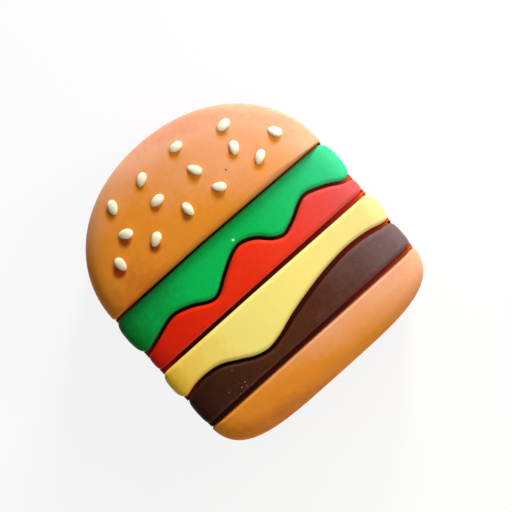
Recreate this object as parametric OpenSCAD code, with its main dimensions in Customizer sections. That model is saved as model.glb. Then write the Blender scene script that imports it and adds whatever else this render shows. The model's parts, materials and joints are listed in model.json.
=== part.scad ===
// Flip-open hamburger telephone, lying on its back.
// +X runs along the layers, +Y points to the top bun, +Z points out of the relief.
// The origin is the centre of the footprint on the table.

/* [Burger outline] */
// Width of the body across the layers
body_w = 109.6; // [104:0.1:116]
// Height of the domed part of the top bun
dome_h = 46.4; // [43:0.1:50]
// Exponent of the dome's curve, 2 is an ellipse
dome_power = 2.1; // [2:0.05:2.4]
// Sideways lean of the dome for each millimetre of height
dome_lean = -0.02; // [-0.06:0.005:0.02]
// Height of the straight sides between the two curved ends
straight_h = 47.2; // [45:0.1:50]
// Height of the curved lower end
heel_h = 28.6; // [26:0.1:31]
// Exponent of the lower end's curve
heel_power = 4; // [3.4:0.1:4.4]

/* [Layers] */
// Width of the grooves between two layers
groove_w = 1.4; // [1:0.1:1.8]
// Width of the groove above the bottom bun
heel_groove_w = 2.2; // [1.6:0.1:2.6]
// Height of the top bun's straight edge above the dome's axis
bun_edge_up = 0.3; // [0:0.1:0.6]
// Height of the lettuce layer down to the middle of its wave
lettuce_h = 13.1; // [12:0.1:15]
// Height of the tomato layer from the middle of the wave
tomato_h = 11.7; // [11:0.1:13]
// Height of the cheese layer down to the middle of its wave
cheese_h = 15.1; // [14:0.1:17]
// Height of the patty from the middle of the wave
patty_h = 10.3; // [9.5:0.1:12]
// How far the wave under the lettuce swings to each side
lettuce_wave = 5.2; // [4:0.1:6]
// How far the wave under the cheese swings to each side
cheese_wave = 4.8; // [4:0.1:5.5]
// How far the lettuce bulges past the body
lettuce_bulge = 1.2; // [0.6:0.1:1.6]
// How far the cheese bulges past the body
cheese_bulge = 1; // [0.6:0.1:1.6]
// Depth of the rounded ends of the lettuce
lettuce_end = 4; // [3:0.1:5]
// Depth of the rounded ends of the cheese
cheese_end = 3.2; // [2:0.1:4]
// Depth of the rounded ends of the tomato
tomato_end = 1.4; // [1:0.1:2]
// Depth of the rounded ends of the patty
patty_end = 1.6; // [1:0.1:3]

/* [Relief] */
// Height of the layers above the lid's face plate
relief_h = 5; // [4:0.1:6.5]
// Rise of the top bun's crest above the other layers
bun_rise = 4; // [2.5:0.1:5]
// How far the layers' skirts stand off the top of the lid's rim flange
skirt_gap = 0.2; // [0.15:0.05:0.4]
// Length of a sesame seed
seed_l = 6.5; // [5.5:0.1:7]
// Width of a sesame seed
seed_w = 4.2; // [3.4:0.1:4.4]

/* [Lid] */
// Width of the step from the body's outline to the lid shell's wall
skirt_t = 1.8; // [1.4:0.1:2.4]
// Wall of the lid shell
lid_wall = 1.8; // [1.5:0.1:2.2]
// Thickness of the lid's face plate
plate_t = 2; // [1.8:0.1:2.4]
// Clear height inside the lid
lid_cavity_h = 7.6; // [7.6:0.1:10]
// Thickness of the lid's inner panel
lid_panel_t = 1.8; // [1.6:0.1:2.4]
// Height of the flange round the lid's rim
rim_flange_h = 1; // [0.8:0.1:1.4]
// Height by which the rim stands below the inner panel
rim_drop = 0.4; // [0.3:0.1:0.6]
// Gap between the closed lid and the base
lid_gap = 0.4; // [0.3:0.1:0.6]

/* [Base] */
// Finger step from the body's outline to the base
base_inset = 2.4; // [2:0.1:3]
// Chamfer round the base's bottom edge
base_chamfer = 3; // [2:0.1:3.5]
// Wall of the base above the panel ledge
base_wall = 2; // [1.8:0.1:2.4]
// Width of the ledge that the keypad panel lies on
ledge_w = 1; // [0.8:0.1:1.4]
// Floor of the base
floor_t = 2.2; // [2:0.1:2.6]
// Clear height between the floor and the keypad panel
base_cavity_h = 13.4; // [13.4:0.1:15]
// Thickness of the keypad panel
panel_t = 2; // [1.8:0.1:2.4]
// Height of the base's rim above the keypad panel
rim_h = 2.6; // [2.4:0.1:3.4]
// Height of the rubber feet under the floor
foot_h = 1.6; // [1.2:0.1:2.4]
// Radius of a rubber foot
foot_r = 6; // [5:0.1:6.5]
// Depth of the sockets that hold the feet
foot_socket = 0.6; // [0.4:0.1:1]
// Thickness of the ballast plate
ballast_t = 3; // [2:0.1:3.4]

/* [Hinge] */
// Distance from the hinge axis to the tip of the lower end
hinge_in = 5; // [4.8:0.1:5.4]
// Distance of the hinge axis below the base's rim
hinge_drop = 6.8; // [6.4:0.1:7.4]
// Radius of the hinge knuckles
knuckle_r = 4; // [3.6:0.1:4.2]
// Radius of the hinge pins
pin_r = 1.5; // [1.3:0.05:1.7]
// Width of the hinge recess in the base
recess_w = 72; // [70:1:76]
// Length of a base knuckle
base_knuckle_l = 6; // [5:0.1:6.5]
// Length of a lid knuckle
lid_knuckle_l = 7; // [6:0.1:8]
// Length of the middle knuckle that carries the lead
lead_knuckle_l = 10; // [8:0.5:12]

/* [Keys] */
// Width of a key cap
key_w = 12; // [11:0.1:12.5]
// Depth of a key cap
key_d = 9.5; // [8.5:0.1:10]
// Sideways pitch of the keys
key_pitch_x = 17; // [16.4:0.1:17.4]
// Pitch of the key rows
key_pitch_y = 13.5; // [13:0.1:13.8]
// Height of the key tops above the keypad panel
key_proud = 2.2; // [1.8:0.1:2.4]
// Travel of a key
key_travel = 1.2; // [0.8:0.1:1.4]
// Thickness of the flange under a key cap
key_flange_t = 1; // [0.8:0.1:1.2]
// Width of the flange round a key cap
key_flange_w = 1; // [0.8:0.1:1.2]
// Thickness of the circuit board
board_t = 1.6; // [1.2:0.1:2]
// Thickness of the keypad mat
mat_t = 1; // [0.8:0.1:1.2]

/* [Hook switch] */
// Radius of the hook plunger
plunger_r = 2.5; // [2:0.1:2.8]
// Travel of the hook plunger
plunger_travel = 3; // [3:0.1:3.1]
// Radius of the wire of the hook spring
spring_wire_r = 0.3; // [0.25:0.05:0.35]

/* [Receiver and microphone] */
// Diameter of the receiver capsule
receiver_d = 34; // [30:0.5:35]
// Height of the receiver capsule
receiver_h = 6.5; // [5:0.1:6.6]
// Diameter of the microphone capsule
mic_d = 9.7; // [8:0.1:10]
// Height of the microphone capsule
mic_h = 5.2; // [4:0.1:5.6]
// Diameter of the ringer disc
ringer_d = 30; // [26:0.5:32]
// Height of the ringer disc
ringer_h = 5; // [4:0.1:5.8]

/* [Line jack and switches] */
// Length of the line jack's housing
jack_l = 18; // [16:0.5:19]
// Width of the line jack's housing
jack_w = 13.4; // [12.6:0.1:14]
// Height of the line jack's housing
jack_h = 11.2; // [10.4:0.1:11.4]
// Width of the plug opening
socket_w = 9.7; // [9.6:0.1:9.8]
// Height of the plug opening
socket_h = 6.7; // [6.6:0.1:6.8]
// Depth of the plug opening
socket_l = 11; // [10.5:0.1:12]
// Travel of the two slide switches
slide_travel = 3; // [2:0.1:3.4]

/* [Fasteners] */
// Radius of the lid and ingredient screws' shanks
small_screw_r = 1.05; // [0.9:0.05:1.2]
// Radius of the base screws' shanks
base_screw_r = 1.4; // [1.2:0.05:1.6]
// Height of a screw head
head_h = 1.4; // [1.2:0.1:1.6]

/* [Clearances] */
// Clearance between seated pieces
fit = 0.15; // [0.1:0.01:0.2]
// Clearance between pieces that slide
slide_fit = 0.2; // [0.15:0.01:0.3]
// Clearance between the sides of neighbouring knuckles
knuckle_gap = 0.3; // [0.2:0.05:0.4]

/* [Hidden] */
// Keys: name, column and row; row 0 is nearest the hinge, so digits read from there
KEYS = [["1", 1, 0], ["2", 0, 0], ["3", -1, 0], ["4", 1, 1], ["5", 0, 1], ["6", -1, 1],
        ["7", 1, 2], ["8", 0, 2], ["9", -1, 2], ["star", 1, 3], ["0", 0, 3],
        ["hash", -1, 3], ["redial", 0.75, 4], ["flash", -0.75, 4]];

$fn = 48;

// Heights of the levels, from the table up
floor_z = foot_h;
cavity_z = floor_z + floor_t;
panel_z = cavity_z + base_cavity_h;
panel_top = panel_z + panel_t;
base_top = panel_top + rim_h;
rim_z = base_top + lid_gap;
lid_panel_z = rim_z + rim_drop;
lid_cavity_z = lid_panel_z + lid_panel_t;
plate_z = lid_cavity_z + lid_cavity_h;
plate_top = plate_z + plate_t;
relief_top = plate_top + relief_h;
skirt_z = rim_z + rim_flange_h + skirt_gap;

// Places along Y, from the lower end up
half_w = body_w / 2;
body_h = heel_h + straight_h + dome_h;
heel_y = -body_h / 2;
heel_axis_y = heel_y + heel_h;
dome_y = heel_axis_y + straight_h;
crown_y = dome_y + dome_h;
bun_edge_y = dome_y + bun_edge_up;
lettuce_top = bun_edge_y - groove_w;
wave_1_y = lettuce_top - lettuce_h - groove_w / 2;
tomato_low = wave_1_y - groove_w / 2 - tomato_h;
cheese_top = tomato_low - groove_w;
wave_2_y = cheese_top - cheese_h - groove_w / 2;
patty_low = wave_2_y - groove_w / 2 - patty_h;
heel_bun_top = patty_low - heel_groove_w;

// Waves: place along the half width, and height as a share of the wave's swing
WAVE_1 = [[-1.06, -1.05], [-0.84, -0.31], [-0.66, 0.12], [-0.51, -0.23], [-0.34, -1],
          [-0.17, -0.04], [0.04, 1], [0.19, 0.12], [0.34, -0.85], [0.48, -0.23],
          [0.66, 0.46], [0.82, -0.27], [0.93, -0.92], [1.06, -1.04]];
WAVE_2 = [[-1.06, 0.3], [-0.89, 0.88], [-0.77, 1], [-0.64, 0.75], [-0.51, -0.04],
          [-0.4, -0.71], [-0.29, -1], [-0.16, -0.75], [0, -0.17], [0.18, 0.33],
          [0.4, 0.79], [0.62, 1], [0.8, 0.83], [0.93, 0.46], [1.06, 0.25]];
wave_steps = 4;

// Seeds: place along the half width and up the dome, and the long axis' direction
SEEDS = [[-0.453, 0.733, 65], [-0.161, 0.746, 30], [0.182, 0.759, -5], [0.547, 0.625, 0],
         [-0.511, 0.487, -30], [-0.179, 0.522, 0], [0.175, 0.504, -60], [0.496, 0.418, 60],
         [-0.686, 0.323, 90], [-0.372, 0.28, 30], [-0.051, 0.289, 90], [0.226, 0.254, -40],
         [0.591, 0.211, 30], [0.796, 0.289, -60]];
seed_fit = 0.08;
seed_sink = 0.3;

// Layer ends: exponent of their curve, and steps along the curves
end_power = 2.6;
end_steps = 12;
dome_steps = 44;
heel_steps = 36;

// Insets from the body's outline
fin_inset = 0.4;
lid_wall_out = skirt_t;
lid_wall_in = skirt_t + lid_wall;
base_low_in = base_inset + base_wall + ledge_w;
base_land = 0.2;
thin = 0.01;
slab_t = 0.15;

// Profile of the top bun: size as a share of the outline, step in from the
// straight edge, and height as a share of the relief and of the rise
BUN_PROFILE = [[1, 0, 0, 0], [1, 0, 0.62, 0], [0.988, 0.2, 0.9, 0.02], [0.965, 0.6, 1, 0.17],
               [0.92, 1.6, 1, 0.45], [0.84, 3.6, 1, 0.7], [0.68, 7, 1, 0.9],
               [0.45, 12, 1, 1]];
// Profile of the bottom bun: how far its lower end steps in, and height
HEEL_PROFILE = [[0, 0], [0.2, 0.2], [0.9, 0.44], [2.2, 0.66], [4.4, 0.86], [8, 1]];

// Hinge places
hinge_y = heel_y + hinge_in;
hinge_z = base_top - hinge_drop;
pin_pass = 0.6;
rear_y = hinge_y + pin_r + pin_pass;
recess_y = hinge_y + knuckle_r + 1;
outer_knuckle_x = recess_w / 2 - 2;
lid_knuckle_x = outer_knuckle_x - base_knuckle_l - knuckle_gap;
inner_knuckle_x = lid_knuckle_x - lid_knuckle_l - knuckle_gap;
pin_x0 = inner_knuckle_x - base_knuckle_l + 0.5;
pin_x1 = outer_knuckle_x - 0.5;
pin_bore_fixed = pin_r + 0.01;
pin_bore_lid = pin_r + 0.05;
lead_r = 0.8;
lead_bore = lead_r + 0.5;
lead_x = 8;

// Base screws, boards and other places in the base
tower_r = 4;
boss_r = 3;
screw_head_r = 2.4;
head_seat_z = floor_z + 5.4;
tower_top = head_seat_z + 2;
rear_screw = [half_w - base_low_in - tower_r - 1.4, recess_y + 11];
front_screw = [0.69 * half_w, dome_y + 0.415 * dome_h];
foot_rear = [rear_screw.x - 14, rear_screw.y];
foot_front = [front_screw.x - 10, front_screw.y + 6];

dome_l = key_travel + 1.45;
board_top = panel_z - 0.15 - key_flange_t - dome_l - mat_t;
board_z = board_top - board_t;
mat_half = key_pitch_x + key_w / 2 + key_flange_w + 1.5;
board_half = mat_half + 5.5;
board_y0 = recess_y + 5;
board_y1 = board_y0 + 83.5;
standoff_x = board_half - 2.7;
standoff_in = 3;
standoff_r = 2.6;

row_y0 = recess_y + 24.1;
function key_x(k) = k[1] * key_pitch_x;
function key_y(k) = row_y0 + k[2] * key_pitch_y;
flange_top = panel_z - 0.1;
flange_z = flange_top - key_flange_t;
key_top = panel_top + key_proud;
mat_y0 = row_y0 - key_d / 2 - key_flange_w - 1.75;
mat_y1 = row_y0 + 4 * key_pitch_y + key_d / 2 + key_flange_w + 1.75;
mat_top = board_top + mat_t;
dome_top = flange_z - 0.05;

plunger_y = recess_y + 11;
plunger_top = lid_panel_z - 0.1;
plunger_flange_r = 4;
plunger_flange_t = 1.2;
plunger_flange_top = panel_z - 0.1 - plunger_travel;
plunger_flange_z = plunger_flange_top - plunger_flange_t;
stem_r = 1.2;
guide_r = 2;
guide_top = cavity_z + 5.8;
seat_z = cavity_z + 1.2;
spring_r = 2.7;
spring_turns = 5;
leaf_end_x = spring_r + spring_wire_r + 0.3;

ringer_y = dome_y + 9.3;
ringer_wall = 1.2;
mic_y = dome_y + 30.3;
mic_boot_t = 1;
mic_bore_r = mic_d / 2 + mic_boot_t + fit;
mic_port_r = 3.6;
mic_z = panel_z - mic_boot_t - mic_h;
MIC_HOLES = [-2.4, 0, 2.4];
mic_hole_r = 0.6;
collar_t = 1.3;
collar_drop = 5;
receiver_y = dome_y + 19.3;
receiver_wall = 1.4;
ear_hole_r = 0.9;
ear_hole_step = 0.62;
gasket_t = 0.8;
receiver_z = lid_cavity_z + gasket_t;

wire_r = 0.5;

jack_y = heel_axis_y + 12.5;
jack_pad = 1;
jack_z = cavity_z + jack_pad;
jack_x0 = -(half_w - base_inset - 0.5);
socket_z = jack_z + 3.2;
latch_w = 6;
latch_d = 1.6;
latch_l = 7;
contact_r = 0.25;
contact_pitch = 1.02;
contact_z = socket_z + 0.55;
window_fit = 0.2;

switch_l = 12;
switch_w = 6;
switch_h = 6;
switch_x1 = half_w - base_low_in - 0.2;
switch_z = cavity_z + 4.2;
knob_l = 3;
knob_h = 2.6;
knob_proud = 1.2;
knob_root = 2;
knob_z = switch_z + (switch_h - knob_h) / 2;
SWITCH_YS = [heel_axis_y + 22.5, heel_axis_y + 38.5];

ballast_half = 24;
ballast_y0 = heel_axis_y - 0.5;
ballast_y1 = ballast_y0 + 38;
peg_r = 1.6;

lid_screw_rear = [rear_screw.x, rear_screw.y - 6];
lid_screw_front = [0.62 * half_w, receiver_y + 6];
lid_boss_r = 3;
lid_head_r = 2;

// Screws that hold the layers: along the half width, and Y
LAYER_SCREWS = [
    [-0.55, bun_edge_y + 13], [0.55, bun_edge_y + 13], [0, crown_y - 6.7],
    [-0.73, lettuce_top - 6.4], [-0.33, lettuce_top - 8.4], [0.73, lettuce_top - 6.4],
    [-0.66, tomato_low + 6], [0.04, tomato_low + 8], [0.66, tomato_low + 6],
    [-0.73, cheese_top - 5.4], [-0.29, cheese_top - 9], [0.73, cheese_top - 5.4],
    [-0.77, patty_low + 7.2], [0.25, patty_low + 6.6], [0.77, patty_low + 7.2],
    [-0.66, heel_bun_top - 7], [0, heel_bun_top - 8], [0.66, heel_bun_top - 7]];

// Routes of the internal wires
lead_z = lid_cavity_z + 2.6;
lead_y = receiver_y - receiver_d / 2;
RECEIVER_LEAD = [
    [0, lead_y - 0.2, lead_z], [-3, lead_y - 9, lead_z], [-lead_x, lead_y - 25, lead_z],
    [-lead_x, hinge_y + 26.1, lead_z], [-lead_x, hinge_y + 8.1, lead_z],
    [-lead_x, hinge_y + 2.1, lid_panel_z + 1.9], [-lead_x, hinge_y + 0.7, hinge_z + 5],
    [0.4 - lead_x, hinge_y + 0.1, hinge_z + 2], [1.8 - lead_x, hinge_y, hinge_z + 0.1],
    [0.4 - lead_knuckle_l / 2, hinge_y, hinge_z], [-0.2, hinge_y, hinge_z]];
BASE_LEAD = [
    [0.2, hinge_y, hinge_z], [lead_knuckle_l / 2 - 0.4, hinge_y, hinge_z],
    [lead_x - 1.4, hinge_y + 0.1, hinge_z], [lead_x, hinge_y + 1.6, hinge_z],
    [lead_x, hinge_y + 6.1, hinge_z], [lead_x, hinge_y + 8.3, hinge_z],
    [lead_x, hinge_y + 9.7, hinge_z - 0.6], [lead_x, board_y0 + 0.9, board_top + 1.2]];
jack_end = jack_x0 + jack_l;
jack_wire_x = max(jack_end + 4.3, 1.4 - board_half);
JACK_WIRE = [[jack_end + 0.1, jack_y, jack_z + 3.2], [jack_end + 1.9, jack_y, jack_z + 3.3],
             [jack_wire_x, jack_y, board_z - 1.8], [jack_wire_x + 0.6, jack_y, board_z - 0.2]];
ringer_wire_z = cavity_z + ringer_h + wire_r + 0.15;
RINGER_WIRE = [[9, ringer_y - 4, ringer_wire_z], [9.6, ringer_y - 6, ringer_wire_z + 0.1],
               [12, ringer_y - 11, ringer_wire_z + 0.15],
               [13.6, ringer_y - 14.4, ringer_wire_z + 0.35], [14, ringer_y - 15, board_z - 0.2]];
MIC_WIRE = [[0, mic_y, mic_z - 0.2], [0, mic_y - 0.6, mic_z - 1.1], [0, mic_y - 3, mic_z - 1.6],
            [0, board_y1 - 0.4, mic_z - 1.6], [0, board_y1 - 2.8, board_z - 1],
            [0, board_y1 - 3.4, board_z - 0.2]];
switch_x0 = switch_x1 - switch_w;
SWITCH_WIRE = [[switch_x0 - 0.2, 0, switch_z + 3], [switch_x0 - 3.2, 0, switch_z + 3.4],
               [min(switch_x0 - 8.2, board_half + 4), 0, board_top + 0.7],
               [min(switch_x0 - 12.8, board_half - 0.6), 0, board_top + 0.8],
               [min(switch_x0 - 14.2, board_half - 2), 0, board_top + 0.6]];

// ---- Outlines ----

function signed_pow(v, p) = sign(v) * pow(abs(v), p);

// Points of a superellipse of half axes a and b, between two angles
function curve_points(a, b, power, from, to, steps) =
    [for (i = [0:steps])
        let (t = from + (to - from) * i / steps)
        [a * signed_pow(cos(t), 2 / power), b * signed_pow(sin(t), 2 / power)]];

function dome_points(inset) =
    [for (p = curve_points(half_w - inset, dome_h - inset, dome_power, 0, 180, dome_steps))
        [p.x + dome_lean * p.y, dome_y + p.y]];

function heel_points(inset) =
    [for (p = curve_points(half_w - inset, heel_h - inset, heel_power, 180, 360, heel_steps))
        [p.x, heel_axis_y + p.y]];

// Point on a Catmull-Rom curve between b and c
function spline_at(a, b, c, d, t) =
    0.5 * (2 * b + (c - a) * t + (2 * a - 5 * b + 4 * c - d) * t * t
        + (3 * b - a - 3 * c + d) * t * t * t);

function spline(points, steps) =
    let (last = len(points) - 1)
    concat(
        [for (i = [0:last - 1], j = [0:steps - 1])
            spline_at(points[max(i - 1, 0)], points[i], points[i + 1],
                points[min(i + 2, last)], j / steps)],
        [points[last]]);

function wave_line(controls, y, swing) =
    spline([for (c = controls) [c[0] * half_w, y + swing * c[1]]], wave_steps);

// A line moved sideways, upwards where d is positive
function shifted(points, d) =
    let (last = len(points) - 1)
    [for (i = [0:last])
        let (run = points[min(i + 1, last)] - points[max(i - 1, 0)])
        points[i] + d * [-run.y, run.x] / norm(run)];

function flat_line(y) = [[-body_w, y], [body_w, y]];

// Outline of a layer between two lines, with rounded ends
function layer_points(upper, lower, half, end, grow) =
    let (
        edge = half - end,
        reach = end + grow,
        right_low = lookup(edge, lower),
        right_up = lookup(edge, upper),
        left_low = lookup(-edge, lower),
        left_up = lookup(-edge, upper),
        last = len(upper) - 1)
    concat(
        [for (p = curve_points(reach, (right_up - right_low) / 2, end_power, -90, 90, end_steps))
            [edge + p.x, (right_up + right_low) / 2 + p.y]],
        [for (i = [last:-1:0]) if (abs(upper[i].x) < edge - 0.2) upper[i]],
        [for (p = curve_points(reach, (left_up - left_low) / 2, end_power, 90, 270, end_steps))
            [-edge + p.x, (left_up + left_low) / 2 + p.y]],
        [for (p = lower) if (abs(p.x) < edge - 0.2) p]);

wave_1 = wave_line(WAVE_1, wave_1_y, lettuce_wave);
wave_2 = wave_line(WAVE_2, wave_2_y, cheese_wave);

module body_2d(inset = 0) {
    polygon(concat(dome_points(inset), heel_points(inset)));
}

module lettuce_2d(grow = 0) {
    polygon(layer_points(flat_line(lettuce_top + grow), shifted(wave_1, groove_w / 2 - grow),
        half_w + lettuce_bulge, lettuce_end, grow));
}

module tomato_2d(grow = 0) {
    polygon(layer_points(shifted(wave_1, grow - groove_w / 2), flat_line(tomato_low - grow),
        half_w - 0.2, tomato_end, grow));
}

module cheese_2d(grow = 0) {
    polygon(layer_points(flat_line(cheese_top + grow), shifted(wave_2, groove_w / 2 - grow),
        half_w + cheese_bulge, cheese_end, grow));
}

module patty_2d(grow = 0) {
    polygon(layer_points(shifted(wave_2, grow - groove_w / 2), flat_line(patty_low - grow),
        half_w, patty_end, grow));
}

// The body's outline on one side of a straight edge, for the two buns
module top_bun_2d(grow) {
    intersection() {
        polygon(dome_points(-grow));
        translate([-body_w, bun_edge_y - grow]) square([2 * body_w, body_h]);
    }
}

module bottom_bun_2d(inset = 0, grow = 0) {
    intersection() {
        polygon(heel_points(inset));
        translate([-body_w, heel_bun_top + grow - body_h]) square([2 * body_w, body_h]);
    }
}

// Everything that the layers cover, grown by the fitting clearance
module layers_2d(grow) {
    top_bun_2d(grow);
    lettuce_2d(grow);
    tomato_2d(grow);
    cheese_2d(grow);
    patty_2d(grow);
    bottom_bun_2d(-grow, grow);
}

// ---- Helpers ----

module at_z(z0, z1) {
    translate([0, 0, z0]) linear_extrude(z1 - z0) children();
}

module rod(x, y, z0, z1, r) {
    translate([x, y, z0]) cylinder(r = r, h = z1 - z0);
}

module rod_x(x0, x1, y, z, r) {
    translate([x0, y, z]) rotate([0, 90, 0]) cylinder(r = r, h = x1 - x0);
}

// A box between two corners
module block(a, b) {
    translate(a) cube(b - a);
}

module mirrored_x() {
    children();
    mirror([1, 0, 0]) children();
}

// A tube along a smooth route; up is any direction that the route never takes
module tube(route, r, up = [0.31, 0.23, 0.92], steps = 3, sides = 8) {
    line = spline(route, steps);
    last = len(line) - 1;
    points = [for (i = [0:last])
        let (
            run = line[min(i + 1, last)] - line[max(i - 1, 0)],
            along = run / norm(run),
            side = cross(along, up) / norm(cross(along, up)),
            over = cross(side, along))
        for (k = [0:sides - 1]) line[i] + r * (cos(360 * k / sides) * side
            + sin(360 * k / sides) * over)];
    walls = [for (i = [0:last - 1], k = [0:sides - 1])
        let (n = (k + 1) % sides)
        [i * sides + k, i * sides + n, (i + 1) * sides + n, (i + 1) * sides + k]];
    ends = [[for (k = [sides - 1:-1:0]) k], [for (k = [0:sides - 1]) last * sides + k]];
    polyhedron(points = points, faces = concat(walls, ends), convexity = 10);
}

// ---- Base ----

// The base's plan inside a wall t thick, behind it the hinge recess
module base_inner_2d(t) {
    reach = 2 * body_w;
    difference() {
        body_2d(base_inset + t);
        translate([-reach / 2, rear_y + t - reach]) square(reach);
        translate([-recess_w / 2 - t, recess_y + t - reach]) square([recess_w + 2 * t, reach]);
    }
}

module base_block() {
    difference() {
        hull() {
            at_z(floor_z, floor_z + base_land) body_2d(base_inset + base_chamfer);
            at_z(floor_z + base_chamfer, base_top) body_2d(base_inset);
        }
        block([-body_w, heel_y - body_w, 0], [body_w, rear_y, base_top + 1]);
        block([-recess_w / 2, heel_y - body_w, 0], [recess_w / 2, recess_y, base_top + 1]);
        at_z(cavity_z, panel_z + thin) base_inner_2d(base_wall + ledge_w);
        at_z(panel_z, base_top + 1) base_inner_2d(base_wall);
    }
}

module base_lug(x0, x1) {
    rod_x(x0, x1, hinge_y, hinge_z, knuckle_r);
    block([x0, hinge_y, hinge_z - knuckle_r], [x1, recess_y + 0.5, hinge_z + knuckle_r]);
}

module base_lugs() {
    mirrored_x() {
        base_lug(outer_knuckle_x - base_knuckle_l, outer_knuckle_x);
        base_lug(inner_knuckle_x - base_knuckle_l, inner_knuckle_x);
    }
    base_lug(-lead_knuckle_l / 2, lead_knuckle_l / 2);
}

function screw_spots() = [rear_screw, [-rear_screw.x, rear_screw.y],
    front_screw, [-front_screw.x, front_screw.y]];
function foot_spots() = [foot_rear, [-foot_rear.x, foot_rear.y],
    foot_front, [-foot_front.x, foot_front.y]];
function standoff_spots() = [for (x = [-standoff_x, standoff_x],
    y = [board_y0 + standoff_in, board_y1 - standoff_in]) [x, y]];
function peg_spots() = [for (x = [-1, 1]) [x * (ballast_half - 5), (ballast_y0 + ballast_y1) / 2]];

module base_posts() {
    for (p = screw_spots()) rod(p.x, p.y, floor_z + 1, tower_top, tower_r);
    for (p = standoff_spots()) rod(p.x, p.y, floor_z + 1, board_z, standoff_r);
    for (p = peg_spots()) rod(p.x, p.y, floor_z + 1, cavity_z + ballast_t + 0.8, peg_r);
    difference() {
        rod(0, ringer_y, floor_z + 1, cavity_z + ringer_h - 1, ringer_d / 2 + fit + ringer_wall);
        rod(0, ringer_y, 0, panel_z, ringer_d / 2 + fit);
    }
    rod(0, plunger_y, floor_z + 1, seat_z, spring_r + 1);
    rod(0, plunger_y, floor_z + 1, guide_top, guide_r);
    block([jack_x0 + 2, jack_y - jack_w / 2, floor_z + 1],
        [jack_end, jack_y + jack_w / 2, jack_z]);
    for (y = SWITCH_YS)
        block([switch_x0, y - switch_l / 2, floor_z + 1],
            [switch_x1 + 1, y + switch_l / 2, switch_z]);
}

module base_cuts() {
    for (p = screw_spots()) {
        rod(p.x, p.y, floor_z - 1, head_seat_z, screw_head_r + 0.2);
        rod(p.x, p.y, floor_z, tower_top + 1, base_screw_r + 0.2);
    }
    for (p = foot_spots()) rod(p.x, p.y, floor_z - 1, floor_z + foot_socket, foot_r + 0.1);
    for (p = standoff_spots()) rod(p.x, p.y, cavity_z, board_z + 1, small_screw_r + 0.02);
    for (x = [-8:4:8]) block([x - 0.8, ringer_y - 9 + abs(x) / 2, floor_z - 1],
        [x + 0.8, ringer_y + 9 - abs(x) / 2, cavity_z + 1]);
    rod(0, plunger_y, cavity_z, guide_top + 1, stem_r + slide_fit);
    block([jack_x0 - 3, jack_y - jack_w / 2 - window_fit, jack_z],
        [jack_x0 + 6, jack_y + jack_w / 2 + window_fit, jack_z + jack_h + window_fit]);
    for (y = SWITCH_YS)
        block([switch_x1 + 0.1, y - (knob_l + slide_travel) / 2 - slide_fit, knob_z - slide_fit],
            [half_w, y + (knob_l + slide_travel) / 2 + slide_fit, knob_z + knob_h + slide_fit]);
    translate([lead_x, recess_y - 1, hinge_z]) rotate([-90, 0, 0])
        cylinder(r = lead_r + 0.3, h = base_wall + ledge_w + 2);
    mirrored_x() rod_x(inner_knuckle_x - base_knuckle_l - 1, outer_knuckle_x + 1,
        hinge_y, hinge_z, pin_bore_fixed);
    rod_x(-lead_knuckle_l, lead_knuckle_l, hinge_y, hinge_z, lead_bore);
}

module base_shell() {
    color("firebrick") difference() {
        union() {
            base_block();
            base_posts();
            base_lugs();
        }
        base_cuts();
    }
}

module keypad_panel() {
    color([0.17, 0.13, 0.12]) difference() {
        union() {
            at_z(panel_z, panel_top) base_inner_2d(base_wall + fit);
            for (p = screw_spots()) rod(p.x, p.y, tower_top, panel_z + thin, boss_r);
            rod(0, mic_y, panel_z - collar_drop, panel_z + thin, mic_bore_r + collar_t);
        }
        for (p = screw_spots()) rod(p.x, p.y, tower_top - 1, panel_z, base_screw_r + 0.02);
        rod(0, mic_y, panel_z - collar_drop - 1, panel_z, mic_bore_r);
        for (x = MIC_HOLES, y = MIC_HOLES)
            rod(x, mic_y + y, panel_z - 1, panel_top + 1, mic_hole_r);
        for (k = KEYS) translate([key_x(k), key_y(k), panel_z - 1]) linear_extrude(panel_t + 2)
            square([key_w + 2 * slide_fit, key_d + 2 * slide_fit], center = true);
        rod(0, plunger_y, panel_z - 1, panel_top + 1, plunger_r + slide_fit);
    }
}

module keypad_mat() {
    color("dimgray") {
        block([-mat_half, mat_y0, board_top], [mat_half, mat_y1, mat_top]);
        for (k = KEYS) translate([key_x(k), key_y(k), mat_top - thin])
            cylinder(r1 = 4.2, r2 = 3, h = dome_top - mat_top + thin);
    }
}

module circuit_board() {
    color("seagreen") difference() {
        block([-board_half, board_y0, board_z], [board_half, board_y1, board_top]);
        rod(0, plunger_y, board_z - 1, board_top + 1, plunger_flange_r + 1.5);
        for (p = standoff_spots()) rod(p.x, p.y, board_z - 1, board_top + 1, small_screw_r + 0.2);
    }
}

module board_components() {
    color("black") {
        block([-18, row_y0 + 7, board_z - 2], [-2, row_y0 + 23, board_z]);
        block([4, row_y0 + 11, board_z - 1.6], [14, row_y0 + 19, board_z]);
        block([10, plunger_y - 5, board_z - 5.6], [22, plunger_y + 5, board_z]);
        for (x = [-22, -15]) rod(x, plunger_y, board_z - 5, board_z, 3);
        block([lead_x - 1.6, board_y0 + 1.6, board_top], [lead_x + 1.6, board_y0 + 4, board_top + 2.2]);
    }
}

module board_screws() {
    color("silver") for (p = standoff_spots()) {
        rod(p.x, p.y, board_z - 4, board_top, small_screw_r);
        rod(p.x, p.y, board_top, board_top + head_h, 2);
    }
}

module ballast_plate() {
    color("slategray") difference() {
        block([-ballast_half, ballast_y0, cavity_z], [ballast_half, ballast_y1, cavity_z + ballast_t]);
        for (p = peg_spots()) rod(p.x, p.y, floor_z, panel_z, peg_r + fit);
    }
}

module ringer() {
    color("black") difference() {
        rod(0, ringer_y, cavity_z, cavity_z + ringer_h, ringer_d / 2);
        rod(0, ringer_y, cavity_z - 1, cavity_z + 1, ringer_d / 2 - 1.5);
    }
}

module microphone() {
    color("silver") rod(0, mic_y, mic_z, mic_z + mic_h, mic_d / 2);
}

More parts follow.
